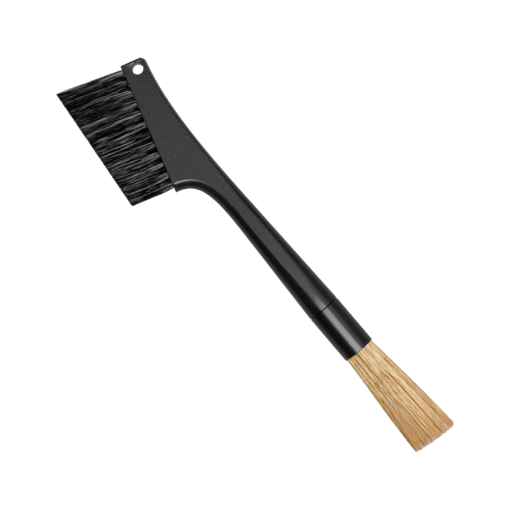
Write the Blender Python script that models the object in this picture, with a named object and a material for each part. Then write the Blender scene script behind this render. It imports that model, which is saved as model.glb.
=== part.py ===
"""Coffee grinder brush, double-ended.

A moulded handle ends in a blade-shaped head at one end and in a spigot at the
other. The head holds two staggered rows of dark tufts, each folded over a flat
anchor at the bottom of its drilled hole. The spigot carries a ferrule, in
which a round bundle of pale natural bristles is set.

Everything is drawn in the brush's own frame: the origin is on the handle's
axis at the ferrule joint, +X runs towards the pale bristles, the dark tufts
point to -Y and +Z is square to the flat of the head. An empty then carries
the whole brush, with the middle of its base at the world's origin.
"""

import math

import bmesh
import bpy
from mathutils import Matrix, Vector

MM = 0.001

# Head, measured from the ferrule joint and from the bristle edge
HEEL_FROM_JOINT = 89.9 * MM
HEEL_DROP = 18.2 * MM
EDGE_LENGTH = 67.15 * MM
EDGE_ANGLE = math.radians(16.6)
TOE_WIDTH = 12.6 * MM
TOE_BACK_RADIUS = 2.2 * MM
TOE_FRONT_RADIUS = 0.7 * MM
HEEL_ANGLE = math.radians(93.0)
HEEL_PULL = 12.0 * MM
NECK_PULL = 26.0 * MM
TOE_BACK_PULL = 21.0 * MM
NECK_BACK_PULL = 40.0 * MM

# Grip and neck
GRIP_RADIUS = 8.4 * MM
FRONT_NECK_AT = 52.0 * MM
FRONT_NECK_REACH = 6.1 * MM
BACK_NECK_AT = 67.6 * MM
BACK_NECK_REACH = 6.7 * MM

# Thickness, flats and rounded sides
BLADE_THICKNESS = 9.8 * MM
BLADE_FROM = 110.0 * MM
FLAT_FROM = 6.0 * MM
FLAT_SHIFT = 0.45 * MM
HEEL_BAND = 4.4 * MM
BACK_BAND = 2.2 * MM
BACK_BAND_FROM = 62.0 * MM
BACK_BAND_FULL_FROM = 96.0 * MM
EDGE_ROUND = 0.6 * MM

# Hanging hole
HANG_RADIUS = 2.85 * MM
HANG_FROM_TOE = 4.45 * MM
HANG_WALL = 0.52 * MM
HANG_CHAMFER = 0.4 * MM

# Spigot and ferrule
SPIGOT_LENGTH = 9.0 * MM
SPIGOT_CHAMFER = 0.5 * MM
JOINT_CHAMFER = 0.2 * MM
FERRULE_LENGTH = 26.6 * MM
FERRULE_WALL = 0.6 * MM

# Tufts of the head
TUFTS_ON_TOP = 12
TOE_MARGIN = 3.3 * MM
HEEL_MARGIN = 4.1 * MM
ROW_SPACING = 4.4 * MM
TUFT_HOLE_RADIUS = 1.6 * MM
TUFT_HOLE_DEPTH = 3.9 * MM
TUFT_REACH_TOE = 34.15 * MM
TUFT_REACH_HEEL = 21.95 * MM
TUFT_LEAN_TOE = 1.1 * MM
TUFT_LEAN_HEEL = 0.5 * MM
TUFT_RISE = 0.2 * MM
TUFT_STRAND_COUNT = 11
TUFT_STRAND_RADIUS = 0.24 * MM
FOLD_THICKNESS = 0.5 * MM
ANCHOR_HEIGHT = 1.0 * MM
ANCHOR_THICKNESS = 0.4 * MM

# Pale bundle, measured from the ferrule's mouth
BUNDLE_STRAND_COUNT = 190
BUNDLE_STRAND_RADIUS = 0.34 * MM
BUNDLE_SET_BACK = 1.0 * MM
BUNDLE_KNEE_AT = 41.0 * MM
BUNDLE_KNEE_RADIUS = 11.0 * MM
BUNDLE_TIP_AT = 56.7 * MM
BUNDLE_TIP_RADIUS = 11.7 * MM
BUNDLE_TIP_SLANT = math.radians(4.0)
BUNDLE_LEAN = 0.55 * MM
BUNDLE_DOME = 0.5 * MM
BUNDLE_TIP_UNEVEN = 0.5 * MM
BUNDLE_FLAT_CUT = 0.5 * MM

# Clearances
FIT = 0.3 * MM
TUFT_GAP = 0.3 * MM
STRAND_EDGE = 0.04 * MM
STRAND_SINK = 0.25 * MM
CUT_PAST = 1.0 * MM
WELD = 0.001 * MM

# Facets
SIDE_STEPS = 12
GRIP_STEPS = 2
NECK_STEPS = 9
HEEL_STEPS = 16
BLADE_STEPS = 12
CORNER_STEPS = 6
HOLE_FACETS = 12
HANG_FACETS = 36
FERRULE_FACETS = 64
RIM_STEPS = 4
STRAND_SIDES = 3
COPLANAR = math.radians(0.2)
SHARP = math.radians(35.0)

# Even spreading of strands over a round root
GOLDEN_RATIO = (math.sqrt(5.0) - 1.0) / 2.0
GOLDEN_ANGLE = 2.0 * math.pi * (1.0 - GOLDEN_RATIO)


def direction(angle):
    """Unit vector in the plan, at an angle from +X."""
    return Vector((math.cos(angle), math.sin(angle)))


# The bristle edge runs from the toe to the heel along EDGE. INTO points from
# it into the blade, towards the back of the brush.
EDGE = direction(-EDGE_ANGLE)
INTO = direction(math.pi / 2 - EDGE_ANGLE)
HEEL = Vector((-HEEL_FROM_JOINT, -HEEL_DROP))
TOE_FRONT = HEEL - EDGE * EDGE_LENGTH
TOE_BACK = TOE_FRONT + INTO * TOE_WIDTH

# The grip's silhouette is straight from the joint to each side of the neck.
FRONT_TAPER = (GRIP_RADIUS - FRONT_NECK_REACH) / FRONT_NECK_AT
BACK_TAPER = (GRIP_RADIUS - BACK_NECK_REACH) / BACK_NECK_AT

# The spigot and the bristles' resin slice both slide into the ferrule's bore.
FERRULE_BORE = GRIP_RADIUS - FERRULE_WALL
MOUTH = FIT + FERRULE_LENGTH
CORE_RADIUS = FERRULE_BORE - FIT

# Each tuft's root fills its hole from the bottom up, round the anchor's slot.
TUFT_PITCH = (EDGE_LENGTH - TOE_MARGIN - HEEL_MARGIN) / (TUFTS_ON_TOP - 1)
SLOT_HEIGHT = ANCHOR_HEIGHT + 2 * FIT
ROOT_BOTTOM = FIT - TUFT_HOLE_DEPTH
ROOT_TOP = ROOT_BOTTOM + 2 * FOLD_THICKNESS + SLOT_HEIGHT


# Outline of the handle

def bezier(points, t):
    """Point and unit tangent of a cubic curve at t."""
    a, b, c, d = points
    s = 1.0 - t
    point = a * s ** 3 + b * (3 * s * s * t) + c * (3 * s * t * t) + d * t ** 3
    tangent = (b - a) * (s * s) + (c - b) * (2 * s * t) + (d - c) * (t * t)
    return point, tangent.normalized()


def heel_curve():
    """Front silhouette, from the neck round to the heel corner."""
    neck = Vector((-FRONT_NECK_AT, -FRONT_NECK_REACH))
    along = Vector((-1.0, FRONT_TAPER)).normalized()
    rise = direction(HEEL_ANGLE - EDGE_ANGLE)
    return neck, neck + along * NECK_PULL, HEEL + rise * HEEL_PULL, HEEL


def back_curve():
    """Back silhouette, from the neck to the corner of the toe."""
    neck = Vector((-BACK_NECK_AT, BACK_NECK_REACH))
    along = Vector((-1.0, -BACK_TAPER)).normalized()
    return neck, neck + along * NECK_BACK_PULL, TOE_BACK + EDGE * TOE_BACK_PULL, TOE_BACK


def back_at(x):
    """Point and tangent of the back silhouette at x."""
    if x >= -BACK_NECK_AT:
        tangent = Vector((-1.0, -BACK_TAPER)).normalized()
        return Vector((x, GRIP_RADIUS + BACK_TAPER * x)), tangent
    curve = back_curve()
    low, high = 0.0, 1.0
    for _ in range(40):
        middle = (low + high) / 2
        if bezier(curve, middle)[0].x > x:
            low = middle
        else:
            high = middle
    return bezier(curve, low)


def blend(a, b, t):
    return a + (b - a) * t


def smooth(t):
    t = min(max(t, 0.0), 1.0)
    return t * t * (3 - 2 * t)


def grip_middle(x):
    """Offset of the grip's centre from the axis, and its half width."""
    front = -GRIP_RADIUS - FRONT_TAPER * x
    back = GRIP_RADIUS + BACK_TAPER * x
    return (back + front) / 2, (back - front) / 2


def half_thickness(x):
    """Half the thickness: the round grip, then a flat cut down to the blade."""
    if x >= -FLAT_FROM:
        return grip_middle(x)[1]
    left = max(0.0, (BLADE_FROM + x) / (BLADE_FROM - FLAT_FROM))
    return blend(BLADE_THICKNESS / 2, grip_middle(-FLAT_FROM)[1], left ** 2)


def flat_angle(x):
    """Angle up the grip's round side at which the flat cuts it off."""
    return math.asin(min(1.0, half_thickness(x) / grip_middle(x)[1]))


# Past the neck every rounded side is cut at the angle it has there.
NECK_ANGLE = flat_angle(-FRONT_NECK_AT)


def flat_share(x):
    """Width of the grip's flat, as a share of its width at the neck."""
    width = grip_middle(x)[1] * math.cos(flat_angle(x))
    return width / (grip_middle(-FRONT_NECK_AT)[1] * math.cos(NECK_ANGLE))


def grip_bands(x):
    """Widths of the front and the back side, up to the flat between them."""
    share = flat_share(x)
    side = grip_middle(x)[1] * (1.0 - math.cos(flat_angle(x))) + EDGE_ROUND * share
    return side + FLAT_SHIFT * share, side - FLAT_SHIFT * share


# Sides of the handle: columns of points from the lower flat to the upper one

def arc_share(level, angle):
    """Inset of a round side, as a share of its width, at a level.

    The side is an ellipse that the flat cuts off at an angle up its quarter
    turn. At a right angle nothing is cut.
    """
    height = math.sin(angle) * level
    return (1.0 - math.sqrt(1.0 - height * height)) / (1.0 - math.cos(angle))


def edge_inset(level, half, edge):
    """Inset of the small round that leads into the flat."""
    over = max(0.0, abs(level) * half - (half - edge))
    return edge - math.sqrt(max(0.0, edge ** 2 - over ** 2))


class Side:
    """A side that rises from one point of the silhouette.

    The band is its width up to the flat, whose small round takes up the last
    of it. A band as narrow as that round leaves a plain wall.
    """

    def __init__(self, point, normal, band=EDGE_ROUND, angle=NECK_ANGLE, edge=EDGE_ROUND):
        self.point = point
        self.normal = normal
        self.band = band
        self.angle = angle
        self.edge = edge

    def inset(self, level, half):
        arc = (self.band - self.edge) * arc_share(level, self.angle)
        return arc + edge_inset(level, half, self.edge)

    def at(self, level, half):
        return self.point + self.normal * self.inset(level, half)


class Mitre:
    """The corner column where two sides meet."""

    def __init__(self, first, second):
        self.first = first
        self.second = second

    def at(self, level, half):
        n, d = self.first.normal, self.first.inset(level, half)
        m, e = self.second.normal, self.second.inset(level, half)
        cross = n.x * m.y - n.y * m.x
        return self.first.point + Vector((d * m.y - e * n.y, e * n.x - d * m.x)) / cross


def levels():
    for k in range(-SIDE_STEPS, SIDE_STEPS + 1):
        yield math.sin(math.pi / 2 * k / SIDE_STEPS)


def column(side):
    """Points of a side, from the edge of the lower flat to the upper one."""
    half = half_thickness(side.at(1.0, BLADE_THICKNESS / 2).x)
    points = []
    for level in levels():
        at = side.at(level, half)
        points.append(Vector((at.x, at.y, level * half)))
    return points


def front_normal(tangent):
    """Normal into the handle, for a front silhouette traced to the toe."""
    return Vector((tangent.y, -tangent.x))


def back_normal(tangent):
    """Normal into the handle, for a back silhouette traced to the toe."""
    return Vector((-tangent.y, tangent.x))


# Stations of the handle: the front and the back column of each cross-section

def round_station(x, radius):
    front = []
    back = []
    for level in levels():
        reach = radius * math.sqrt(max(0.0, 1.0 - level * level))
        front.append(Vector((x, -reach, level * radius)))
        back.append(Vector((x, reach, level * radius)))
    return front, back


def spigot_stations():
    """From the spigot's end to the shoulder that the ferrule butts on."""
    shoulder = GRIP_RADIUS - JOINT_CHAMFER
    return [
        round_station(SPIGOT_LENGTH, CORE_RADIUS - SPIGOT_CHAMFER),
        round_station(SPIGOT_LENGTH - SPIGOT_CHAMFER, CORE_RADIUS),
        round_station(0.0, CORE_RADIUS),
        round_station(0.0, shoulder),
    ]


def grip_station(x):
    centre, width = grip_middle(x)
    across = Vector((0.0, 1.0))
    middle = Vector((x, centre))
    front_band, back_band = grip_bands(x)
    edge = EDGE_ROUND * flat_share(x)
    front = Side(middle - across * width, across, front_band, flat_angle(x), edge)
    back = Side(middle + across * width, -across, back_band, flat_angle(x), edge)
    return column(front), column(back)


def grip_stations():
    """Round grip, then the neck, closest together where the flat opens."""
    stations = []
    for j in range(GRIP_STEPS):
        stations.append(grip_station(blend(-JOINT_CHAMFER, -FLAT_FROM, j / GRIP_STEPS)))
    for j in range(NECK_STEPS + 1):
        t = (j / NECK_STEPS) ** 1.5
        stations.append(grip_station(blend(-FLAT_FROM, -FRONT_NECK_AT, t)))
    return stations


def back_side(x):
    """Rounded back, whose band narrows from the neck to the blade."""
    point, tangent = back_at(x)
    narrowed = smooth((-x - BACK_BAND_FROM) / (BACK_BAND_FULL_FROM - BACK_BAND_FROM))
    band = blend(grip_bands(-FRONT_NECK_AT)[1], BACK_BAND, narrowed)
    return Side(point, back_normal(tangent), band)


def heel_sides():
    """Front side at each step from the neck to the heel corner."""
    sides = []
    curve = heel_curve()
    for j in range(1, HEEL_STEPS + 1):
        t = j / HEEL_STEPS
        point, tangent = bezier(curve, t)
        band = blend(grip_bands(-FRONT_NECK_AT)[0], HEEL_BAND, t)
        sides.append(Side(point, front_normal(tangent), band))
    sides[-1] = Mitre(sides[-1], Side(HEEL, INTO))
    return sides


def heel_stations():
    """Fan from the neck to the heel corner, where the flat edge begins.

    The last line across the flat leans half as far as the heel's wall, and
    the ones before it lean less, so that no two of them cross.
    """
    stations = []
    sides = heel_sides()
    inner = sides[-1].at(1.0, BLADE_THICKNESS / 2)
    lean = math.tan((math.pi / 2 - (HEEL_ANGLE - EDGE_ANGLE)) / 2)
    lean *= back_at(inner.x)[0].y - inner.y
    for j, front in enumerate(sides):
        at = front.at(1.0, BLADE_THICKNESS / 2).x
        back = back_side(at + lean * (j + 1) / HEEL_STEPS)
        stations.append((column(front), column(back)))
    return stations, inner.x + lean


def blade_stations(back_start):
    """From the heel's flat border along the bristle edge to the toe's corners."""
    stations = []
    front_start = HEEL - EDGE * HEEL_BAND
    front_end = TOE_FRONT + EDGE * TOE_FRONT_RADIUS
    back_end = (TOE_BACK + EDGE * TOE_BACK_RADIUS).x
    for j in range(1, BLADE_STEPS + 1):
        t = j / BLADE_STEPS
        front = Side(blend(front_start, front_end, t), INTO)
        back = back_side(blend(back_start, back_end, t))
        stations.append((column(front), column(back)))
    return stations


def toe_stations():
    """Round both corners of the toe, down to its flat end wall."""
    stations = []
    front_centre = TOE_FRONT + (EDGE + INTO) * TOE_FRONT_RADIUS
    back_centre = TOE_BACK + (EDGE - INTO) * TOE_BACK_RADIUS
    for j in range(1, CORNER_STEPS + 1):
        t = j / CORNER_STEPS
        turn = direction(math.pi / 2 * t)
        front_way = INTO * turn.x + EDGE * turn.y
        back_way = EDGE * turn.y - INTO * turn.x
        front = Side(front_centre - front_way * TOE_FRONT_RADIUS, front_way)
        band = blend(BACK_BAND, EDGE_ROUND, t)
        back = Side(back_centre - back_way * TOE_BACK_RADIUS, back_way, band)
        stations.append((column(front), column(back)))
    return stations


# Mesh helpers

def finish(bm, name):
    """Turn a bmesh into a named object, smooth but for its sharp edges."""
    bmesh.ops.recalc_face_normals(bm, faces=bm.faces)
    mesh = bpy.data.meshes.new(name)
    bm.to_mesh(mesh)
    bm.free()
    mesh.shade_smooth()
    mesh.set_sharp_from_angle(angle=SHARP)
    obj = bpy.data.objects.new(name, mesh)
    bpy.context.scene.collection.objects.link(obj)
    return obj


def loft(stations):
    """Skin the stations' front and back columns, the flats and both ends."""
    bm = bmesh.new()
    rows = []
    for front, back in stations:
        rows.append(([bm.verts.new(p) for p in front], [bm.verts.new(p) for p in back]))
    for (front, back), (next_front, next_back) in zip(rows, rows[1:]):
        loop = front + back[::-1]
        next_loop = next_front + next_back[::-1]
        for k in range(len(loop)):
            bm.faces.new((loop[k - 1], loop[k], next_loop[k], next_loop[k - 1]))
    front, back = rows[0]
    bm.faces.new(front + back[::-1])
    front, back = rows[-1]
    for k in range(1, len(front)):
        bm.faces.new((front[k - 1], front[k], back[k], back[k - 1]))
    bmesh.ops.remove_doubles(bm, verts=bm.verts, dist=WELD)
    bmesh.ops.dissolve_limit(bm, angle_limit=COPLANAR, verts=bm.verts, edges=bm.edges)
    return bm


def revolve(profile, facets, axis):
    """Turn a closed profile of (along, radius) points about an axis."""
    bm = bmesh.new()
    across = axis.orthogonal().normalized()
    ring = [bm.verts.new(axis * along + across * radius) for along, radius in profile]
    edges = [bm.edges.new((ring[k - 1], ring[k])) for k in range(len(ring))]
    bmesh.ops.spin(bm, geom=ring + edges, cent=(0, 0, 0), axis=axis,
                   angle=2 * math.pi, steps=facets)
    bmesh.ops.remove_doubles(bm, verts=bm.verts, dist=WELD)
    return bm


def cylinder(bm, radius, start, end, facets, frame):
    """Add a closed cylinder along the local Z of a frame."""
    place = frame @ Matrix.Translation((0, 0, (start + end) / 2))
    bmesh.ops.create_cone(bm, cap_ends=True, segments=facets, radius1=radius,
                          radius2=radius, depth=end - start, matrix=place)


def box(low, high):
    """A closed box between two corners."""
    bm = bmesh.new()
    low = Vector(low)
    size = Vector(high) - low
    bmesh.ops.create_cube(bm, size=1.0, matrix=Matrix.Translation(low + size / 2)
                          @ Matrix.Diagonal(size.to_4d()))
    return bm


def strand(bm, rings):
    """Add one closed strand through its rings of corners."""
    rows = [[bm.verts.new(p) for p in ring] for ring in rings]
    for row, above in zip(rows, rows[1:]):
        for k in range(len(row)):
            bm.faces.new((row[k - 1], row[k], above[k], above[k - 1]))
    bm.faces.new(rows[0])
    bm.faces.new(rows[-1])


def combine(obj, bm, operation):
    """Cut a tool out of an object, or join the tool to it, for good."""
    tool = finish(bm, obj.name + "_tool")
    modifier = obj.modifiers.new(operation.title(), 'BOOLEAN')
    modifier.operation = operation
    modifier.solver = 'EXACT'
    modifier.object = tool
    solid = obj.evaluated_get(bpy.context.evaluated_depsgraph_get())
    mesh = bpy.data.meshes.new_from_object(solid)
    obj.modifiers.clear()
    plain = obj.data
    obj.data = mesh
    bpy.data.meshes.remove(plain)
    mesh.name = obj.name
    mesh.shade_smooth()
    mesh.set_sharp_from_angle(angle=SHARP)
    bpy.data.objects.remove(tool)


def material(name, color, roughness, metallic=0.0):
    mat = bpy.data.materials.new(name)
    mat.use_nodes = True
    shader = mat.node_tree.nodes["Principled BSDF"]
    shader.inputs["Base Color"].default_value = (*color, 1.0)
    shader.inputs["Roughness"].default_value = roughness
    shader.inputs["Metallic"].default_value = metallic
    return mat


def spread(count, radius):
    """Sunflower pattern: evenly spread places on a disc, and their turns."""
    for k in range(count):
        turn = k * GOLDEN_ANGLE
        reach = radius * math.sqrt((k + 0.5) / count)
        yield k, direction(turn) * reach, turn


def strand_corners(radius, turn):
    return [direction(turn + 2 * math.pi * k / STRAND_SIDES) * radius
            for k in range(STRAND_SIDES)]


# Handle

def tuft_places():
    """Name, distance from the toe and side of every tuft's hole."""
    for k in range(TUFTS_ON_TOP):
        yield "top_%02d" % (k + 1), TOE_MARGIN + TUFT_PITCH * k, 1
    for k in range(TUFTS_ON_TOP - 1):
        yield "under_%02d" % (k + 1), TOE_MARGIN + TUFT_PITCH * (k + 0.5), -1


def tuft_frame(along, side):
    """Frame at a hole's mouth: X along the edge to the heel, Z outwards."""
    mouth = TOE_FRONT + EDGE * along
    return Matrix((
        (EDGE.x, 0.0, -INTO.x, mouth.x),
        (EDGE.y, 0.0, -INTO.y, mouth.y),
        (0.0, 1.0, 0.0, side * ROW_SPACING / 2),
        (0.0, 0.0, 0.0, 1.0),
    ))


def tuft_holes():
    bm = bmesh.new()
    for _, along, side in tuft_places():
        frame = tuft_frame(along, side)
        cylinder(bm, TUFT_HOLE_RADIUS, -TUFT_HOLE_DEPTH, CUT_PAST, HOLE_FACETS, frame)
    return bm


def hanging_hole():
    """Hole through the toe, with a chamfer at each flat."""
    half = BLADE_THICKNESS / 2
    wide = HANG_RADIUS + HANG_CHAMFER + CUT_PAST
    profile = (
        (-half - CUT_PAST, 0.0),
        (-half - CUT_PAST, wide),
        (-half + HANG_CHAMFER, HANG_RADIUS),
        (half - HANG_CHAMFER, HANG_RADIUS),
        (half + CUT_PAST, wide),
        (half + CUT_PAST, 0.0),
    )
    bm = revolve(profile, HANG_FACETS, Vector((0.0, 0.0, 1.0)))
    setback = TUFT_HOLE_DEPTH + HANG_WALL + HANG_RADIUS
    at = TOE_FRONT + EDGE * HANG_FROM_TOE + INTO * setback
    bmesh.ops.translate(bm, verts=bm.verts, vec=at.to_3d())
    return bm


def build_handle():
    heel, back_reached = heel_stations()
    stations = spigot_stations() + grip_stations() + heel
    stations += blade_stations(back_reached) + toe_stations()
    handle = finish(loft(stations), "handle")
    combine(handle, tuft_holes(), 'DIFFERENCE')
    combine(handle, hanging_hole(), 'DIFFERENCE')
    return handle


# Ferrule

def build_ferrule():
    """Thin sleeve, chamfered at the joint and rolled round at the mouth."""
    roll = FERRULE_WALL / 2
    profile = [
        (FIT, FERRULE_BORE),
        (FIT, GRIP_RADIUS - JOINT_CHAMFER),
        (FIT + JOINT_CHAMFER, GRIP_RADIUS),
    ]
    for k in range(RIM_STEPS + 1):
        way = direction(math.pi * (0.5 - k / RIM_STEPS))
        profile.append((MOUTH - roll + roll * way.x, GRIP_RADIUS - roll + roll * way.y))
    return finish(revolve(profile, FERRULE_FACETS, Vector((1.0, 0.0, 0.0))), "ferrule")


# Tufts of the head

def trim_height(along):
    """Height of the slanted trim over the bristle edge."""
    return blend(TUFT_REACH_TOE, TUFT_REACH_HEEL, along / EDGE_LENGTH)


def tuft_strands(along, side):
    """Strands fan out of the root and end on the trim."""
    bm = bmesh.new()
    apothem = (TUFT_HOLE_RADIUS - FIT) * math.cos(math.pi / HOLE_FACETS)
    root_reach = apothem - TUFT_STRAND_RADIUS - STRAND_EDGE
    room = TUFT_GAP / 2 + TUFT_STRAND_RADIUS
    widen = (TUFT_PITCH / 2 - room) / root_reach
    deepen = (ROW_SPACING / 2 + TUFT_RISE - room) / root_reach
    start = ROOT_TOP - STRAND_SINK
    slope = (TUFT_REACH_HEEL - TUFT_REACH_TOE) / EDGE_LENGTH
    lean = blend(TUFT_LEAN_TOE, TUFT_LEAN_HEEL, along / EDGE_LENGTH)
    for _, place, turn in spread(TUFT_STRAND_COUNT, root_reach):
        tip = Vector((place.x * widen - lean, place.y * deepen + side * TUFT_RISE))
        low = []
        high = []
        for corner in strand_corners(TUFT_STRAND_RADIUS, turn):
            foot = (place + corner).to_3d() + Vector((0, 0, start))
            head = (tip + corner).to_3d() + Vector((0, 0, trim_height(along)))
            run = head - foot
            reach = (trim_height(along + foot.x) - start) / (run.z - slope * run.x)
            low.append(foot)
            high.append(foot + run * reach)
        strand(bm, (low, high))
    return bm


def build_tuft(name, along, side):
    """Folded root with the anchor's slot through it, and its strands."""
    bm = bmesh.new()
    cylinder(bm, TUFT_HOLE_RADIUS - FIT, ROOT_BOTTOM, ROOT_TOP, HOLE_FACETS, Matrix())
    tuft = finish(bm, "tuft_" + name)
    width = ANCHOR_THICKNESS / 2 + FIT
    slot_from = ROOT_BOTTOM + FOLD_THICKNESS
    combine(tuft, box((-TUFT_HOLE_RADIUS, -width, slot_from),
                      (TUFT_HOLE_RADIUS, width, slot_from + SLOT_HEIGHT)), 'DIFFERENCE')
    combine(tuft, tuft_strands(along, side), 'UNION')
    tuft.matrix_local = tuft_frame(along, side)
    return tuft


def build_anchor(name, along, side):
    """Flat strip that lies across the hole, inside the tuft's fold."""
    across = ANCHOR_THICKNESS / 2
    reach = TUFT_HOLE_RADIUS * math.cos(math.pi / HOLE_FACETS) - FIT
    half_length = math.sqrt(reach ** 2 - across ** 2)
    start = ROOT_BOTTOM + FOLD_THICKNESS + FIT
    bm = box((-half_length, -across, start), (half_length, across, start + ANCHOR_HEIGHT))
    anchor = finish(bm, "anchor_" + name)
    anchor.matrix_local = tuft_frame(along, side)
    return anchor


# Pale bundle

def bundle_strands():
    """Strands leave the slice close together and splay to a slanted end."""
    bm = bmesh.new()
    slice_end = MOUTH - BUNDLE_SET_BACK
    apothem = CORE_RADIUS * math.cos(math.pi / FERRULE_FACETS)
    root_reach = apothem - BUNDLE_STRAND_RADIUS - STRAND_EDGE
    knee = (BUNDLE_KNEE_RADIUS - BUNDLE_STRAND_RADIUS) / root_reach
    splay = (BUNDLE_TIP_RADIUS - BUNDLE_STRAND_RADIUS) / root_reach
    knee_lean = BUNDLE_LEAN * BUNDLE_KNEE_AT / BUNDLE_TIP_AT
    for k, place, turn in spread(BUNDLE_STRAND_COUNT, root_reach):
        dome = BUNDLE_DOME * (1.0 - (place.length / root_reach) ** 2)
        uneven = BUNDLE_TIP_UNEVEN * (k * GOLDEN_RATIO % 1.0)
        slant = math.tan(BUNDLE_TIP_SLANT) * place.x * splay
        steps = (
            (slice_end - STRAND_SINK, 1.0, 0.0),
            (MOUTH + BUNDLE_KNEE_AT, knee, knee_lean),
            (MOUTH + BUNDLE_TIP_AT + dome - uneven + slant, splay, BUNDLE_LEAN),
        )
        rings = []
        for x, scale, lean in steps:
            centre = place * scale + Vector((lean, 0.0))
            corners = strand_corners(BUNDLE_STRAND_RADIUS, turn)
            rings.append([Vector((x, centre.x + c.x, centre.y + c.y)) for c in corners])
        strand(bm, rings)
    return bm


def build_bundle():
    """Resin slice inside the ferrule, with every strand fused to it."""
    along_x = Matrix.Rotation(math.pi / 2, 4, 'Y')
    bm = bmesh.new()
    cylinder(bm, CORE_RADIUS, SPIGOT_LENGTH + FIT, MOUTH - BUNDLE_SET_BACK, FERRULE_FACETS, along_x)
    bundle = finish(bm, "natural_bristles")
    combine(bundle, bundle_strands(), 'UNION')
    floor = BUNDLE_FLAT_CUT - BUNDLE_TIP_RADIUS
    wide = BUNDLE_TIP_RADIUS + BUNDLE_LEAN
    far = MOUTH + BUNDLE_TIP_AT + BUNDLE_DOME + math.tan(BUNDLE_TIP_SLANT) * wide + CUT_PAST
    combine(bundle, box((MOUTH, -wide, floor - wide), (far, wide, floor)), 'DIFFERENCE')
    return bundle


# Whole brush

def base_middle(objects):
    """Middle of the underside of the box round the objects."""
    bpy.context.view_layer.update()
    corners = [obj.matrix_world @ v.co for obj in objects for v in obj.data.vertices]
    low = [min(c[axis] for c in corners) for axis in range(3)]
    high = [max(c[axis] for c in corners) for axis in range(3)]
    return Vector(((low[0] + high[0]) / 2, (low[1] + high[1]) / 2, low[2]))


def dress(obj, mat):
    obj.data.materials.clear()
    obj.data.materials.append(mat)


def build():
    for obj in list(bpy.data.objects):
        bpy.data.objects.remove(obj)
    charcoal = material("charcoal_plastic", (0.022, 0.020, 0.019), 0.38)
    sleeve = material("black_sleeve", (0.014, 0.014, 0.015), 0.3)
    nylon = material("black_nylon", (0.012, 0.012, 0.015), 0.35)
    blond = material("blond_bristle", (0.62, 0.40, 0.17), 0.6)
    steel = material("anchor_steel", (0.55, 0.54, 0.52), 0.35, 1.0)

    handle = build_handle()
    dress(handle, charcoal)
    ferrule = build_ferrule()
    dress(ferrule, sleeve)
    bundle = build_bundle()
    dress(bundle, blond)
    pieces = [handle, ferrule, bundle]
    for name, along, side in tuft_places():
        tuft = build_tuft(name, along, side)
        dress(tuft, nylon)
        anchor = build_anchor(name, along, side)
        dress(anchor, steel)
        pieces += [tuft, anchor]

    brush = bpy.data.objects.new("grinder_brush", None)
    bpy.context.scene.collection.objects.link(brush)
    shift = -base_middle(pieces)
    for piece in pieces:
        piece.parent = brush
    brush.location = shift


build()
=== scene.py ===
"""Dresses the coffee grinder brush and sets up its photograph.

The brush lies on its side on a white table. Its axis runs along X, the dark
tufts point to -Y and the camera looks straight down on the flat of the head.
"""

import math

import bmesh
import bpy
import numpy as np
from mathutils import Matrix, Vector


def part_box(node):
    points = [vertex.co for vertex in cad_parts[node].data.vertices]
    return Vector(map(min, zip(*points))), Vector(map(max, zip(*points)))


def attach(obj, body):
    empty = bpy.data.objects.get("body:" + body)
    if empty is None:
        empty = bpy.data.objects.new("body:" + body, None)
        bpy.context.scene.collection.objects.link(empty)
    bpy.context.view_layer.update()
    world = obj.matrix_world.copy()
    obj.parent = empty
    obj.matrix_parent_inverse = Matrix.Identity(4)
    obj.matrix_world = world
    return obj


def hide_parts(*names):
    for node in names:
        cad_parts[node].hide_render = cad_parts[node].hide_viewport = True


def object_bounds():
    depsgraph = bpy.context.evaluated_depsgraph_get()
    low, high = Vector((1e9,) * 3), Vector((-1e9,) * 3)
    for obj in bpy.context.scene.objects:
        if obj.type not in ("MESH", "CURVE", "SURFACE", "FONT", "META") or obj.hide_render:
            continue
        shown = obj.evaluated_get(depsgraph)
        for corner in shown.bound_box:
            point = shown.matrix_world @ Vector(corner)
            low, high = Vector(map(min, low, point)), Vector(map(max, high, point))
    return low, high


MM = 0.001
BODY = "root"
SEED = 7

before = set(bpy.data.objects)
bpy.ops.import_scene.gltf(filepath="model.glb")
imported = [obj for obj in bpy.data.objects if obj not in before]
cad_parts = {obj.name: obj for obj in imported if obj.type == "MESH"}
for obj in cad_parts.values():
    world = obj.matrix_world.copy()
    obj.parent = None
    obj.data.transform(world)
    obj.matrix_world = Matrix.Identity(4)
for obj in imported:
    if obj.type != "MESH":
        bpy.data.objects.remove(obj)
cad_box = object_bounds()

# Sizes that the solids share
FIT = 0.3 * MM
FERRULE_WALL = 0.6 * MM
BLADE_THICKNESS = 9.8 * MM
EDGE_ANGLE = math.radians(16.6)
EDGE_LENGTH = 67.15 * MM
TOE_MARGIN = 3.3 * MM
HEEL_MARGIN = 4.1 * MM
TUFTS_ON_TOP = 12
TUFT_REACH_TOE = 34.15 * MM
TUFT_REACH_HEEL = 21.95 * MM
TUFT_LEAN_TOE = 1.1 * MM
TUFT_LEAN_HEEL = 0.5 * MM
TUFT_RISE = 0.2 * MM
ROW_SPACING = 4.4 * MM
SPIGOT_LENGTH = 9.0 * MM
BUNDLE_TIP_SLANT = math.radians(4.0)
BUNDLE_LEAN = 0.55 * MM

# From the mouth of a tuft's hole to the middle of the anchor in it
ANCHOR_DEPTH = 2.3 * MM

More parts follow.
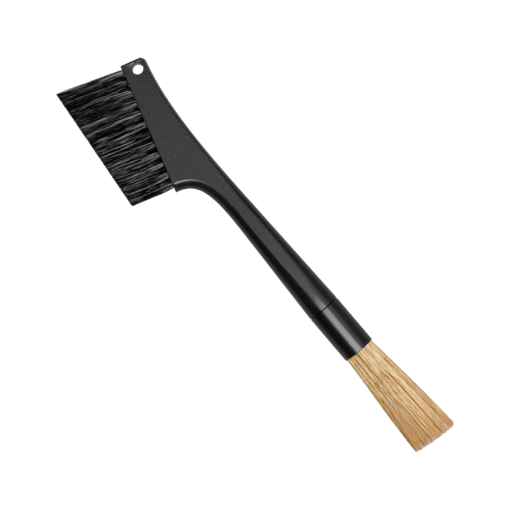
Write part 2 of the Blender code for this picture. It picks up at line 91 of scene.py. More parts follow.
# Nylon filaments of the head: an even fill, and wavy locks that lie in it. Each
# tuft keeps to its cell, and the last ones end short of the edge's two ends.
FILL_COUNT = 62
FILL_RADIUS = 0.18 * MM
FILL_SWAY = 0.3 * MM
FILL_BRIGHTEST = 0.42
LOCK_COUNT = 26
LOCK_FILAMENTS = 3
LOCK_RADIUS = 0.13 * MM
LOCK_ROOT_SHARE = 0.55
LOCK_ROOT_WIDTH = 0.1 * MM
LOCK_WIDTH = 0.14 * MM
LOCK_SWAY = 0.8 * MM
# Lock tones: the brighter locks carry the painted glints of the black nylon
LOCK_DARKEST = 0.1
LOCK_BRIGHTEST = 0.95
LOCK_TONE_SPREAD = 0.05
NYLON_ROOT_REACH = 1.38 * MM
NYLON_START = -2.0 * MM
NYLON_SPREAD = 0.38
NYLON_SHORTEST = 0.35 * MM
NYLON_SHORT_RARITY = 2
NYLON_STEPS = 10
NYLON_STEP_GROWTH = 2
NYLON_SIDES = 4
CELL_MARGIN = 0.05 * MM
HEEL_INSET = 2.1 * MM
ROW_OVERLAP = 0.8 * MM

# Natural bristles. The bundle's end slants in height too, and the bundle lies
# on the table some way past the ferrule's mouth.
BUNDLE_TIP_AT = 57.0 * MM
BUNDLE_TIP_RADIUS = 12.0 * MM
BUNDLE_TIP_PITCH = math.radians(3.3)
BUNDLE_RESTS_AT = 39.0 * MM
SPLAY_POWER = 1.2
SPLAY_FLARE = 0.6
HAIR_COUNT = 3000
HAIR_RADIUS = 0.135 * MM
HAIR_THINNEST = 0.8
HAIR_THICKEST = 1.15
HAIR_TIP_TAPER = 0.75
HAIR_START = -6.0 * MM
HAIR_ROOT_STRAY = 0.06 * MM
HAIR_STRAY = 0.5 * MM
HAIR_SWAY = 0.22 * MM
HAIR_LOCKS = 1000
HAIR_LOCK_SWAY = 0.55 * MM
HAIR_LOCK_TONE = 0.25
HAIR_GATHER = 0.7
HAIR_GATHER_LEAST = 0.3
HAIR_SHORTEST = 1.5 * MM
HAIR_SHORT_RARITY = 3
HAIR_STEPS = 10
HAIR_SIDES = 3
RESIN_SET_BACK = 4.0 * MM
RESIN_FACETS = 48

# Bends of a filament: waves along it, and each wave's share of its sway
SWAY_WAVES = ((0.5, 1.0), (1.1, 0.7), (2.3, 0.4), (4.3, 0.2))
SWAY_SPREAD = 0.5
SWAY_START = 0.7
NO_LENGTH = 1e-9

# Surfaces
SHARP = math.radians(35.0)
WELD = 0.002 * MM
RELIEF = 0.03 * MM
MOULD_MOTTLE = (0.85 * MM, 0.85 * MM, 0.85 * MM)
MOULD_GRAIN = (0.35 * MM, 0.35 * MM, 0.35 * MM)
MOTTLE_DARK_AT = 0.37
MOTTLE_PALE_AT = 0.63
GRIP_TONE_TO = -0.02
HEAD_TONE_FROM = -0.07
DRAWN_LINES = (33.0 * MM, 0.6 * MM, 0.6 * MM)
NYLON_STREAKS = (0.5 * MM, 9.0 * MM, 0.5 * MM)
HAIR_STREAKS = (9.0 * MM, 0.45 * MM, 0.45 * MM)
CLOUD_DARK_AT = 0.3
CLOUD_PALE_AT = 0.7

# How streaks (painted glints on the nylon), the painted light and shade near the nylon roots,
# the painted light on the bundle's +Y side and each bristle's own tone count: a gain, and a
# level that is added
NYLON_STREAK_GAIN = 2.8
NYLON_STREAK_LEVEL = -1.38
NYLON_ROOT_LIGHT_GAIN = 2.2
NYLON_ROOT_LIGHT_LEVEL = -0.14
NYLON_BROWN_STREAK_SHARE = 0.5
HAIR_SIDE_LIGHT_GAIN = 0.03
HAIR_TONE_GAIN = 1.1
HAIR_TONE_LEVEL = -0.375

# Colours, as shares of light
WHITE = (1.0, 1.0, 1.0)
GRIP_DARK = (0.0012, 0.0012, 0.0012)
GRIP_PALE = (0.0054, 0.0054, 0.0052)
HEAD_DARK = (0.0048, 0.0038, 0.0022)
HEAD_PALE = (0.0187, 0.0164, 0.0118)
# Painted shade of the joint's gap, on the spigot and shoulder
GAP_SHADE_DARK = (0.0006, 0.0006, 0.0006)
GAP_SHADE_PALE = (0.0014, 0.0014, 0.0014)
SLEEVE_DARK = (0.0015, 0.0015, 0.0015)
SLEEVE_PALE = (0.003, 0.003, 0.003)
# Ramps from black filament up to the painted blue-grey and brown glints
NYLON_COOL = ((0.0, (0.0004, 0.0004, 0.0006)), (0.28, (0.0030, 0.0030, 0.0036)),
              (0.55, (0.052, 0.053, 0.059)), (1.0, (0.27, 0.274, 0.290)))
NYLON_WARM = ((0.0, (0.0004, 0.0004, 0.0004)), (0.28, (0.005, 0.0035, 0.003)),
              (0.55, (0.058, 0.045, 0.035)), (1.0, (0.21, 0.15, 0.098)))
NYLON_TIP_DARK = (0.002, 0.002, 0.0025)
HAIR_BODY = ((0.27, (0.38, 0.148, 0.021)), (0.48, (0.77, 0.39, 0.087)),
             (0.67, (0.96, 0.66, 0.27)), (0.86, (1.0, 0.92, 0.70)))
HAIR_DEEP = (0.78, 0.355, 0.062)
HAIR_DRY = (0.93, 0.80, 0.66)
RESIN_DARK = (0.30, 0.18, 0.07)
RESIN_PALE = (0.40, 0.26, 0.11)
ANCHOR_DARK = (0.50, 0.49, 0.47)
ANCHOR_PALE = (0.60, 0.59, 0.57)
PAPER_DARK = (0.30, 0.30, 0.30)
PAPER_PALE = (0.32, 0.32, 0.32)

# Studio: the table and walls are white to the camera, and less so in reflections,
# where the white fades out at some distance from the brush. The table shows a
# share of the shadow on it, and TABLE_LIT is how brightly the lamps light it.
TABLE_SIZE = 40.0
TABLE_FLECKS = 40.0
TABLE_LIT = 0.4
SHADOW_SHARE = 0.10
WHITE_MIRRORED = 0.22
WHITE_REACH = 0.03
WHITE_FADE = 0.045
WHITE_BEYOND = 0.05
WALLS_BELOW = 0.0
AMBIENT = 0.03

# Lamps: place from the aim, size and brightness
SOFTBOXES = {
    "key": (Vector((0.29, 0.0, 1.16)), (0.85, 0.47), 11.8),
    "top": (Vector((-0.50, 0.0, 1.08)), (0.9, 0.75), 0.60),
    "side": (Vector((0.2, 0.70, 0.95)), (0.9, 0.55), 1.2),
    "fill": (Vector((0.5, 1.25, 0.40)), (1.2, 0.9), 0.25),
}

# Camera
FRAME_PIXELS = 511
PIXEL = 0.49 * MM
FRAME_WIDTH = FRAME_PIXELS * PIXEL
CAMERA_HEIGHT = 0.79
ROLL = math.radians(49.58)
AIM_FROM_JOINT = Vector((-41.24 * MM, -8.60 * MM))
SENSOR = 36.0
CLIP_NEAR = 0.05

# Places read from the model
ferrule_low, ferrule_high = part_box("ferrule")
AXIS_Y = (ferrule_low.y + ferrule_high.y) / 2
AXIS_Z = (ferrule_low.z + ferrule_high.z) / 2
JOINT_X = ferrule_low.x - FIT
MOUTH_X = ferrule_high.x
BORE_RADIUS = (ferrule_high.z - ferrule_low.z) / 2 - FERRULE_WALL
AIM = Vector((JOINT_X, AXIS_Y)) + AIM_FROM_JOINT

EDGE = Vector((math.cos(EDGE_ANGLE), -math.sin(EDGE_ANGLE), 0.0))
INTO = Vector((math.sin(EDGE_ANGLE), math.cos(EDGE_ANGLE), 0.0))
ACROSS = Vector((0.0, 1.0, 0.0))
UP = Vector((0.0, 0.0, 1.0))
TUFT_PITCH = (EDGE_LENGTH - TOE_MARGIN - HEEL_MARGIN) / (TUFTS_ON_TOP - 1)
GOLDEN_ANGLE = math.pi * (3.0 - math.sqrt(5.0))


# Materials

def rgba(color):
    return (*color, 1.0)


class Nodes:
    """A tree of shader nodes that is built up value by value."""

    def __init__(self, tree):
        self.tree = tree

    def put(self, value, socket):
        if isinstance(value, bpy.types.NodeSocket):
            self.tree.links.new(value, socket)
        else:
            socket.default_value = value

    def add(self, kind, inputs, **settings):
        node = self.tree.nodes.new(kind)
        for key, value in settings.items():
            setattr(node, key, value)
        for key, value in inputs.items():
            self.put(value, node.inputs[key])
        return node

    def math(self, operation, *values):
        inputs = dict(enumerate(values))
        return self.add("ShaderNodeMath", inputs, operation=operation).outputs[0]

    def span(self, value, low, high, start=0.0, stop=1.0):
        """Turn values from start to stop into low to high."""
        inputs = {"Value": value, "From Min": start, "From Max": stop,
                  "To Min": low, "To Max": high}
        return self.add("ShaderNodeMapRange", inputs).outputs["Result"]

    def seen_white(self, mirrored_share):
        """How white a ray finds this: fully from the camera, in part in reflections."""
        light = self.add("ShaderNodeLightPath", {}).outputs
        mirrored = self.math('MAXIMUM', light["Is Glossy Ray"], light["Is Transmission Ray"])
        mirrored = self.math('MULTIPLY', mirrored, mirrored_share)
        return self.math('MAXIMUM', light["Is Camera Ray"], mirrored)


class Surface(Nodes):
    """A material whose look is built up node by node."""

    def __init__(self, name):
        self.material = bpy.data.materials.new(name)
        self.material.use_nodes = True
        super().__init__(self.material.node_tree)
        self.shader = self.tree.nodes["Principled BSDF"]

    def set(self, **inputs):
        for key, value in inputs.items():
            self.put(value, self.shader.inputs[key.replace("_", " ")])

    def point(self, size=(1.0, 1.0, 1.0), turn=0.0):
        """Place on the piece, counted in a size along axes turned about Z."""
        place = self.add("ShaderNodeTexCoord", {}).outputs["Object"]
        inputs = {"Vector": place, "Rotation": (0.0, 0.0, turn), "Scale": size}
        mapping = self.add("ShaderNodeMapping", inputs, vector_type='TEXTURE')
        return mapping.outputs["Vector"]

    def axis(self, name):
        """Place on the piece along one axis."""
        return self.add("ShaderNodeSeparateXYZ", {0: self.point()}).outputs[name]

    def noise(self, point, scale, detail):
        inputs = {"Vector": point, "Scale": scale, "Detail": detail}
        return self.add("ShaderNodeTexNoise", inputs).outputs["Fac"]

    def grain(self, size, detail, turn=0.0):
        """Noise with grains of a given size along each axis."""
        return self.noise(self.point(size, turn), 1.0, detail)

    def cloud(self, per_metre, detail):
        """Even noise with so many grains to a metre."""
        return self.noise(self.point(), per_metre, detail)

    def attribute(self, name):
        return self.add("ShaderNodeAttribute", {}, attribute_name=name).outputs["Fac"]

    def ramp(self, value, *stops):
        node = self.add("ShaderNodeValToRGB", {"Fac": value})
        elements = node.color_ramp.elements
        for _ in range(len(stops) - 2):
            elements.new(0.5)
        for element, (position, color) in zip(elements, stops):
            element.position = position
            element.color = rgba(color)
        return node.outputs["Color"]

    def clouded(self, cloud, dark, pale):
        """Colour that goes from dark to pale with a cloud."""
        return self.ramp(cloud, (CLOUD_DARK_AT, dark), (CLOUD_PALE_AT, pale))

    def mottled(self, mottle, dark, pale):
        """Colour that goes from dark to pale with the mould's mottle."""
        return self.ramp(mottle, (MOTTLE_DARK_AT, dark), (MOTTLE_PALE_AT, pale))

    def mask(self, value, start, stop, low=0.0, high=1.0):
        """Share that goes from low to high while a value goes from start to stop."""
        return self.ramp(value, (start, (low, low, low)), (stop, (high, high, high)))

    def mix(self, share, first, second):
        node = self.add("ShaderNodeMix", {}, data_type='RGBA')
        self.put(share, node.inputs["Factor"])
        for value, name in ((first, "A"), (second, "B")):
            socket = [s for s in node.inputs if s.name == name and s.type == 'RGBA'][0]
            self.put(value, socket)
        return [s for s in node.outputs if s.type == 'RGBA'][0]

    def bump(self, height, strength):
        inputs = {"Height": height, "Strength": strength, "Distance": RELIEF}
        return self.add("ShaderNodeBump", inputs).outputs["Normal"]


def charcoal_plastic():
    """Moulded handle: dark warm grey with the mottled grain of its mould."""
    made = Surface("charcoal_plastic")
    mottle = made.grain(MOULD_MOTTLE, detail=4.0)
    relief = made.math('ADD', mottle, made.grain(MOULD_GRAIN, detail=2.0))
    towards_toe = made.span(made.axis("X"), 0.0, 1.0, GRIP_TONE_TO, HEAD_TONE_FROM)
    grip = made.mottled(mottle, GRIP_DARK, GRIP_PALE)
    head = made.mottled(mottle, HEAD_DARK, HEAD_PALE)
    made.set(Base_Color=made.mix(towards_toe, grip, head),
             Roughness=made.span(mottle, 0.18, 0.30),
             Normal=made.bump(relief, strength=0.6))
    return made.material


def spigot_gap_shade():
    """Painted shade: near-black and nearly without sheen, so the spigot and shoulder seen
    through the joint's gap read as a dark line.
    """
    made = Surface("spigot_gap_shade")
    cloud = made.cloud(per_metre=900.0, detail=2.0)
    made.set(Base_Color=made.clouded(cloud, GAP_SHADE_DARK, GAP_SHADE_PALE),
             Roughness=made.span(cloud, 0.8, 0.95),
             Specular_IOR_Level=0.02)
    return made.material


def black_sleeve():
    """Ferrule: black and drawn lengthwise, smoother than the handle."""
    made = Surface("black_sleeve")
    drawn = made.grain(DRAWN_LINES, detail=3.0)
    made.set(Base_Color=made.clouded(drawn, SLEEVE_DARK, SLEEVE_PALE),
             Roughness=made.span(drawn, 0.23, 0.28),
             Normal=made.bump(drawn, strength=0.25))
    return made.material


def black_nylon():
    """Filaments: black, with painted blue-grey glints on bright locks and streaks, some of them
    painted brown, and painted light and shade near the roots.
    """
    made = Surface("black_nylon")
    tone = made.attribute("tone")
    along = made.attribute("along")
    # Painted glints: streaks and the brighter lock tones lift the black nylon to blue-grey, and
    # some of them to brown, as colour rather than sheen
    streak = made.grain(NYLON_STREAKS, detail=3.0, turn=-EDGE_ANGLE)
    lit = made.math('MULTIPLY_ADD', streak, NYLON_STREAK_GAIN, NYLON_STREAK_LEVEL)
    # Painted light near the roots on the middle, outer-side filaments of a tuft, and painted
    # shade on the inner ones
    near_root = made.mask(along, start=0.2, stop=0.65, low=1.0, high=0.0)
    in_lock = made.mask(tone, start=0.26, stop=0.34, low=0.2, high=1.0)
    root_light = made.math('MULTIPLY', made.attribute("place"), in_lock)
    root_light = made.math('MULTIPLY_ADD', root_light, NYLON_ROOT_LIGHT_GAIN, NYLON_ROOT_LIGHT_LEVEL)
    shade = made.math('ADD', tone, made.math('MULTIPLY_ADD', near_root, root_light, lit))
    brown_pick = made.math('MULTIPLY', tone, 1.0 - NYLON_BROWN_STREAK_SHARE)
    brown_pick = made.math('MULTIPLY_ADD', streak, NYLON_BROWN_STREAK_SHARE, brown_pick)
    brown = made.mask(brown_pick, start=0.71, stop=0.75)
    body = made.mix(brown, made.ramp(shade, *NYLON_COOL), made.ramp(shade, *NYLON_WARM))
    # Darker over the last few hundredths of each filament's length
    tip = made.mask(along, start=0.97, stop=1.0, high=0.5)
    made.set(Base_Color=made.mix(tip, body, rgba(NYLON_TIP_DARK)),
             Roughness=made.span(tone, 0.65, 0.75),
             Specular_IOR_Level=0.03)
    return made.material


def blond_hair():
    """Natural bristles: golden ochre to cream, with dry pale tips, and painted a little lighter
    on the +Y side.
    """
    made = Surface("blond_bristle")
    along = made.attribute("along")
    streak = made.grain(HAIR_STREAKS, detail=2.0)
    side = made.attribute("place")
    # Painted light: the bundle's +Y side a little lighter
    tone = made.math('MULTIPLY_ADD', side, HAIR_SIDE_LIGHT_GAIN, made.attribute("tone"))
    tone = made.math('MULTIPLY_ADD', tone, HAIR_TONE_GAIN, HAIR_TONE_LEVEL)
    shade = made.math('ADD', streak, tone)
    deep = made.mask(along, start=0.5, stop=0.9, high=0.4)
    dry = made.mask(along, start=0.96, stop=1.0, high=0.5)
    body = made.mix(deep, made.ramp(shade, *HAIR_BODY), rgba(HAIR_DEEP))
    made.set(Base_Color=made.mix(dry, body, rgba(HAIR_DRY)),
             Roughness=0.55,
             Specular_IOR_Level=0.3)
    return made.material


def bristle_resin():
    """Set resin: brown and a little cloudy."""
    made = Surface("bristle_resin")
    cloud = made.cloud(per_metre=400.0, detail=3.0)
    made.set(Base_Color=made.clouded(cloud, RESIN_DARK, RESIN_PALE),
             Roughness=made.span(cloud, 0.35, 0.5))
    return made.material


def anchor_metal():
    """Flat wire of the anchors: plain grey metal."""
    made = Surface("anchor_metal")
    cloud = made.cloud(per_metre=900.0, detail=2.0)
    made.set(Base_Color=made.clouded(cloud, ANCHOR_DARK, ANCHOR_PALE),
             Roughness=made.span(cloud, 0.3, 0.45),
             Metallic=1.0)
    return made.material


# Pieces

def add_object(name, data):
    obj = bpy.data.objects.new(name, data)
    bpy.context.scene.collection.objects.link(obj)
    return obj


def finished(bm, name):
    """Turn built geometry into a mesh."""
    mesh = bpy.data.meshes.new(name)
    bm.to_mesh(mesh)
    bm.free()
    return mesh


def smooth(mesh):
    """Shade as one skin, but for its sharp edges."""
    mesh.shade_smooth()
    mesh.set_sharp_from_angle(angle=SHARP)


def dress(mesh, material):
    mesh.materials.clear()
    mesh.materials.append(material)


def add_piece(name, mesh, material, slot, *nodes):
    """Link a piece, dress it, hang it on the brush and hide what it stands for."""
    piece = add_object(name, mesh)
    dress(mesh, material)
    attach(piece, BODY)
    if nodes:
        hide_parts(*nodes)
    return piece


def smooth_copy(node, name, material, slot):
    """The same solid with its facets welded and shaded as one skin."""
    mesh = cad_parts[node].data.copy()
    mesh.name = name
    bm = bmesh.new()
    bm.from_mesh(mesh)
    bmesh.ops.remove_doubles(bm, verts=bm.verts, dist=WELD)
    bm.to_mesh(mesh)
    bm.free()
    smooth(mesh)
    piece = add_piece(name, mesh, material, slot, node)
    weighted = piece.modifiers.new("Weighted normals", 'WEIGHTED_NORMAL')
    weighted.keep_sharp = True
    return piece


def shade_spigot(handle, gap_shade):
    """Give the spigot and the shoulder, which the sleeve is glued to, the painted shade that
    darkens the gap at the joint.
    """
    handle.data.materials.append(gap_shade)
    second = len(handle.data.materials) - 1
    for face in handle.data.polygons:
        if face.center.x > JOINT_X - WELD:
            face.material_index = second


def keep_inside(paths, radius):
    """Bend filaments back where they would leave the brush's box."""
    low, high = (np.array(corner) for corner in cad_box)
    return np.clip(paths, low + radius, high - radius)


def sunflower(count, reach):
    """Evenly spread places on a disc."""
    k = np.arange(count)
    radius = reach * np.sqrt((k + 0.5) / count)
    return np.stack([radius * np.cos(k * GOLDEN_ANGLE), radius * np.sin(k * GOLDEN_ANGLE)], 1)


def squared(places, reach):
    """Places on a disc drawn out to fill the square round it, of half width 1."""
    length = np.linalg.norm(places, axis=1, keepdims=True)
    return places * length / np.abs(places).max(1, keepdims=True) / reach


def gather(tips, count, pull, rng):
    """Draw tips towards the nearest of some lock centres, and name its lock."""
    centres = tips[rng.choice(len(tips), count, replace=False)]
    nearest = np.linalg.norm(tips[:, None] - centres[None], axis=2).argmin(1)
    pull = pull * rng.uniform(HAIR_GATHER_LEAST, 1.0, (len(tips), 1))
    return tips + (centres[nearest] - tips) * pull, nearest


def sway(count, shares, size, rng):
    """Smooth sideways bends that start at nothing at the root."""
    bend = np.zeros((count, len(shares), 2))
    for waves, part in SWAY_WAVES:
        phase = rng.uniform(0.0, 2.0 * math.pi, (count, 1, 2))
        amount = rng.normal(0.0, SWAY_SPREAD, (count, 1, 2)) * size * part
        turn = 2.0 * math.pi * waves * shares[None, :, None] + phase
        bend += amount * (np.sin(turn) - np.sin(phase))
    return bend * shares[None, :, None] ** SWAY_START


def filament_mesh(name, paths, radii, sides, marks, across, beside, rng):
    """Closed thin tubes along paths, round two directions, with marks per tube."""
    count, points = paths.shape[:2]
    turns = rng.uniform(0.0, 2.0 * math.pi, count)[:, None]
    turns = turns + 2.0 * math.pi * np.arange(sides)[None] / sides
    ring = (np.cos(turns)[..., None] * np.array(across)
            + np.sin(turns)[..., None] * np.array(beside))
    verts = paths[:, :, None, :] + ring[:, None] * radii[:, :, None, None]
    index = np.arange(count * points * sides).reshape(count, points, sides)
    low, high = index[:, :-1], index[:, 1:]
    walls = np.stack([low, np.roll(low, -1, 2), np.roll(high, -1, 2), high], -1)
    caps = np.concatenate([index[:, 0, ::-1], index[:, -1]])
    faces = walls.reshape(-1, 4).tolist() + caps.tolist()
    mesh = bpy.data.meshes.new(name)
    mesh.from_pydata(verts.reshape(-1, 3).tolist(), [], faces)
    mesh.shade_smooth()
    marks = {key: np.repeat(values, points * sides) for key, values in marks.items()}
    marks["along"] = np.tile(np.repeat(np.linspace(0.0, 1.0, points), sides), count)
    for key, values in marks.items():
        mesh.attributes.new(key, 'FLOAT', 'POINT').data.foreach_set("value", values)
    return mesh


def tuft_mouths():
    """Name, mouth, place along the edge and side of every tuft, from its anchor."""
    for row, side, count in (("top", 1, TUFTS_ON_TOP), ("under", -1, TUFTS_ON_TOP - 1)):
        for k in range(count):
            name = "%s_%02d" % (row, k + 1)
            low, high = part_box("anchor_" + name)
            along = TOE_MARGIN + TUFT_PITCH * (k + (0.0 if side > 0 else 0.5))
            yield name, (low + high) / 2 - INTO * ANCHOR_DEPTH, along, side


def tuft_layout(cell, share, rng):
    """Roots, tips, bends and held places of a tuft's filaments, and their locks."""
    fill = sunflower(FILL_COUNT, NYLON_ROOT_REACH)
    fill_tips = squared(fill, NYLON_ROOT_REACH) * (cell - FILL_RADIUS)
    fill_bend = sway(FILL_COUNT, share, FILL_SWAY, rng)

    column = rng.permutation(np.linspace(-1.0, 1.0, LOCK_COUNT))
    middle = np.stack([column, rng.uniform(-1.0, 1.0, LOCK_COUNT)], 1)
    lock = np.repeat(np.arange(LOCK_COUNT), LOCK_FILAMENTS)
    jitter = rng.normal(0.0, 1.0, (len(lock), 2))
    lock_roots = (middle * LOCK_ROOT_SHARE * NYLON_ROOT_REACH)[lock] + jitter * LOCK_ROOT_WIDTH
    lock_tips = (middle * cell)[lock] + jitter * LOCK_WIDTH
    lock_bend = sway(LOCK_COUNT, share, LOCK_SWAY, rng)[lock]

    roots = np.concatenate([fill, lock_roots])
    tips = np.concatenate([fill_tips, lock_tips])
    bends = np.concatenate([fill_bend, lock_bend])
    held = np.concatenate([fill / NYLON_ROOT_REACH, middle[lock]])
    return roots, tips, bends, held, lock


def fan_out(roots, tips, bends, cell, share, along):
    """Sideways course of a tuft's filaments, kept in its cell and off the ends."""
    spread = share[None, :, None] ** NYLON_SPREAD
    flat = roots[:, None] + (tips - roots)[:, None] * spread + bends
    growth = cell - FILL_RADIUS - NYLON_ROOT_REACH
    room = NYLON_ROOT_REACH + growth * spread
    flat = np.clip(flat, -room, room)
    toe_side = TOE_MARGIN - NYLON_ROOT_REACH - growth[0] * share - along
    heel_side = EDGE_LENGTH - HEEL_INSET - along
    flat[..., 0] = np.clip(flat[..., 0], toe_side, heel_side)
    return flat


def tuft_mesh(name, mouth, along, side, rng):
    """Nylon filaments that fan out of their hole up to the slanted trim."""
    slope = (TUFT_REACH_HEEL - TUFT_REACH_TOE) / EDGE_LENGTH
    height = TUFT_REACH_TOE + slope * along
    lean = TUFT_LEAN_TOE + (TUFT_LEAN_HEEL - TUFT_LEAN_TOE) * along / EDGE_LENGTH
    cell = np.array((TUFT_PITCH / 2 - CELL_MARGIN,
                     ROW_SPACING / 2 + TUFT_RISE + ROW_OVERLAP / 2 - CELL_MARGIN))
    share = np.linspace(0.0, 1.0, NYLON_STEPS) ** NYLON_STEP_GROWTH
    roots, tips, bends, held, lock = tuft_layout(cell, share, rng)
    flat = fan_out(roots, tips, bends, cell, share, along)
    flat += np.array((-lean, side * (TUFT_RISE - ROW_OVERLAP / 2))) * share[None, :, None]

    count = len(roots)
    short = NYLON_SHORTEST * rng.uniform(0.0, 1.0, (count, 1)) ** NYLON_SHORT_RARITY
    rise = (height + slope * flat[:, -1:, 0] - short) * share
    flat = np.concatenate([roots[:, None], flat], 1)
    rise = np.concatenate([np.full((count, 1), NYLON_START), rise], 1)[..., None]
    paths = (np.array(mouth) + flat[..., :1] * np.array(EDGE) + flat[..., 1:] * np.array(UP)
             - rise * np.array(INTO))
    paths = keep_inside(paths, FILL_RADIUS)
    radii = np.repeat([FILL_RADIUS, LOCK_RADIUS], [FILL_COUNT, len(lock)])
    radii = np.repeat(radii[:, None], paths.shape[1], 1)

    lock_tone = rng.uniform(LOCK_DARKEST, LOCK_BRIGHTEST, LOCK_COUNT)[lock]
    lock_tone += rng.normal(0.0, LOCK_TONE_SPREAD, len(lock))
    tone = np.concatenate([rng.uniform(0.0, FILL_BRIGHTEST, FILL_COUNT), lock_tone])
    # place: share of painted light near the roots, most in the middle of the tuft and on the
    # row's outer side
    place = (1.0 - np.abs(held[:, 0])) * np.clip(0.5 + side * held[:, 1], 0.0, 1.0)
    marks = {"tone": tone, "place": place}
    return filament_mesh("bristles_" + name, paths, radii, NYLON_SIDES, marks, EDGE, UP, rng)


def bundle_mesh(rng):
    """Natural bristles that leave the ferrule packed and splay to a slanted end."""
    root_reach = BORE_RADIUS - HAIR_RADIUS
    tip_reach = BUNDLE_TIP_RADIUS - 2 * HAIR_RADIUS
    roots = sunflower(HAIR_COUNT, root_reach)
    roots += rng.normal(0.0, HAIR_ROOT_STRAY, roots.shape)
    tips = roots * tip_reach / root_reach + rng.normal(0.0, HAIR_STRAY, roots.shape)
    tips, lock = gather(tips, HAIR_LOCKS, HAIR_GATHER, rng)

    share = np.linspace(0.0, 1.0, HAIR_STEPS + 1)
    root_share = -HAIR_START / (BUNDLE_TIP_AT - HAIR_START)
    out = np.clip((share - root_share) / (1.0 - root_share), 0.0, 1.0)
    splay = (out ** SPLAY_POWER * (1.0 + SPLAY_FLARE - SPLAY_FLARE * out))[None, :, None]
    flat = roots[:, None] + (tips - roots)[:, None] * splay
    flat += sway(HAIR_LOCKS, out, HAIR_LOCK_SWAY, rng)[lock]
    flat += sway(HAIR_COUNT, out, HAIR_SWAY, rng)
    limit = root_reach + (tip_reach - root_reach) * splay
    reach = np.linalg.norm(flat, axis=2, keepdims=True)
    flat *= np.minimum(1.0, limit / np.maximum(reach, NO_LENGTH))

    trim = np.array((math.tan(BUNDLE_TIP_SLANT), -math.tan(BUNDLE_TIP_PITCH)))
    short = HAIR_SHORTEST * rng.uniform(0.0, 1.0, HAIR_COUNT) ** HAIR_SHORT_RARITY
    farthest = cad_box[1].x - HAIR_RADIUS - MOUTH_X
    end = np.minimum(BUNDLE_TIP_AT + flat[:, -1] @ trim, farthest) - short
    x = MOUTH_X + HAIR_START + (end[:, None] - HAIR_START) * share
    y = AXIS_Y + flat[..., 0] + BUNDLE_LEAN * out
    z = AXIS_Z + flat[..., 1]
    paths = keep_inside(np.stack([x, y, z], 2), HAIR_RADIUS * HAIR_THICKEST)
    taper = np.linspace(1.0, HAIR_TIP_TAPER, HAIR_STEPS + 1)[None]
    radii = HAIR_RADIUS * rng.uniform(HAIR_THINNEST, HAIR_THICKEST, (HAIR_COUNT, 1)) * taper

    tone = rng.uniform(0.0, 1.0, HAIR_LOCKS)[lock] * HAIR_LOCK_TONE
    tone += rng.uniform(0.0, 1.0, HAIR_COUNT) * (1.0 - HAIR_LOCK_TONE)
    # place: how far towards +Y a bristle starts, for the painted light on that side
    marks = {"tone": tone, "place": roots[:, 0] / root_reach}
    return filament_mesh("bristles_natural", paths, radii, HAIR_SIDES, marks, ACROSS, UP, rng)


def resin_mesh():
    """The set slice that holds the bristles inside the ferrule."""
    start = JOINT_X + SPIGOT_LENGTH + FIT
    end = MOUTH_X - RESIN_SET_BACK
    radius = BORE_RADIUS - FIT
    middle = Matrix.Translation(((start + end) / 2, AXIS_Y, AXIS_Z))
    along_axis = Matrix.Rotation(math.pi / 2, 4, 'Y')
    bm = bmesh.new()
    bmesh.ops.create_cone(bm, cap_ends=True, segments=RESIN_FACETS, radius1=radius,
                          radius2=radius, depth=end - start, matrix=middle @ along_axis)
    mesh = finished(bm, "bristle_resin")
    smooth(mesh)
    return mesh


def build_brush():
    rng = np.random.default_rng(SEED)
    handle = smooth_copy("handle", "handle_body", charcoal_plastic(), "handle_plastic")
    shade_spigot(handle, spigot_gap_shade())
    smooth_copy("ferrule", "ferrule_body", black_sleeve(), "ferrule_sleeve")
    nylon = black_nylon()
    metal = anchor_metal()
    for name, mouth, along, side in tuft_mouths():
        mesh = tuft_mesh(name, mouth, along, side, rng)
        add_piece("bristles_" + name, mesh, nylon, "nylon_bristle", "tuft_" + name)
        dress(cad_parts["anchor_" + name].data, metal)
    add_piece("bristles_natural", bundle_mesh(rng), blond_hair(), "natural_bristle",
              "natural_bristles")
    add_piece("bristle_resin", resin_mesh(), bristle_resin(), "natural_bristle")


# Studio

def table_white():
    """White to the camera and in reflections, but for the brush's shadow."""
    made = Surface("table_white")
    made.tree.nodes.remove(made.shader)
    paper = made.ramp(made.cloud(TABLE_FLECKS, detail=2.0), (0.0, PAPER_DARK), (1.0, PAPER_PALE))
    matte = made.add("ShaderNodeBsdfDiffuse", {"Color": paper})
    faint = made.add("ShaderNodeBsdfDiffuse", {"Color": rgba((SHADOW_SHARE,) * 3)})
    glow = made.add("ShaderNodeEmission", {"Color": rgba(WHITE),
                                           "Strength": 1.0 - SHADOW_SHARE * TABLE_LIT})
    shown = made.add("ShaderNodeAddShader", {0: glow.outputs[0], 1: faint.outputs[0]})
    from_axis = made.math('ABSOLUTE', made.axis("Y"))
    mirrored = made.span(from_axis, WHITE_MIRRORED, WHITE_MIRRORED * WHITE_BEYOND,
                         WHITE_REACH, WHITE_REACH + WHITE_FADE)
    both = made.add("ShaderNodeMixShader", {0: made.seen_white(mirrored),
                                            1: matte.outputs[0], 2: shown.outputs[0]})
    made.put(both.outputs[0], made.tree.nodes["Material Output"].inputs["Surface"])
    return made.material


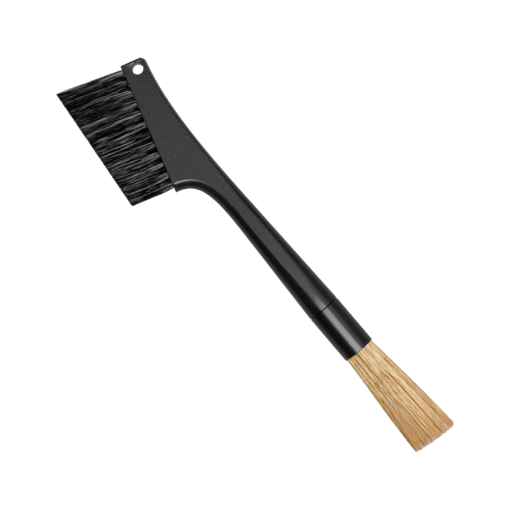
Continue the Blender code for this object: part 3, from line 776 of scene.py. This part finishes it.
def build_table():
    """White table, tilted until both the bristles and the toe lie on it."""
    bristles_at = Vector((MOUTH_X + BUNDLE_RESTS_AT, AXIS_Y, cad_box[0].z))
    toe_at = Vector((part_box("handle")[0].x, 0.0, AXIS_Z - BLADE_THICKNESS / 2))
    slope = (toe_at.z - bristles_at.z) / (bristles_at.x - toe_at.x)
    bm = bmesh.new()
    bmesh.ops.create_grid(bm, x_segments=1, y_segments=1, size=TABLE_SIZE / 2)
    table = add_object("table_top", finished(bm, "table_top"))
    table.location = bristles_at
    table.rotation_euler = (0.0, math.atan(slope), 0.0)
    dress(table.data, table_white())


def build_world():
    """Dim studio, white towards the table and wherever the camera looks."""
    world = bpy.data.worlds.new("studio")
    world.use_nodes = True
    bpy.context.scene.world = world
    made = Nodes(world.node_tree)
    place = made.add("ShaderNodeTexCoord", {}).outputs["Generated"]
    height = made.add("ShaderNodeSeparateXYZ", {0: place}).outputs["Z"]
    low = made.math('LESS_THAN', height, WALLS_BELOW)
    background = made.tree.nodes["Background"].inputs
    made.put(rgba(WHITE), background["Color"])
    made.put(made.span(made.seen_white(low), AMBIENT, 1.0), background["Strength"])


def add_softbox(name, at, size, radiance):
    """Rectangular lamp that faces the brush, with a given brightness."""
    lamp = bpy.data.lights.new(name, 'AREA')
    lamp.shape = 'RECTANGLE'
    lamp.size, lamp.size_y = size
    lamp.energy = radiance * math.pi * size[0] * size[1]
    obj = add_object(name, lamp)
    obj.location = Vector((AIM.x, AIM.y, AXIS_Z)) + at
    obj.rotation_euler = (-at).to_track_quat('-Z', 'Y').to_euler()


def build_camera():
    """Straight down, with the brush from corner to corner of the frame."""
    camera = bpy.data.cameras.new("camera")
    camera.sensor_width = SENSOR
    camera.lens = SENSOR * CAMERA_HEIGHT / FRAME_WIDTH
    camera.clip_start = CLIP_NEAR
    camera.clip_end = 2 * TABLE_SIZE
    obj = add_object("camera", camera)
    obj.location = (AIM.x, AIM.y, AXIS_Z + CAMERA_HEIGHT)
    obj.rotation_euler = (0.0, 0.0, ROLL)
    bpy.context.scene.camera = obj


build_brush()
build_table()
build_world()
for name, (at, size, radiance) in SOFTBOXES.items():
    add_softbox(name, at, size, radiance)
build_camera()
bpy.context.scene.view_settings.view_transform = 'Standard'
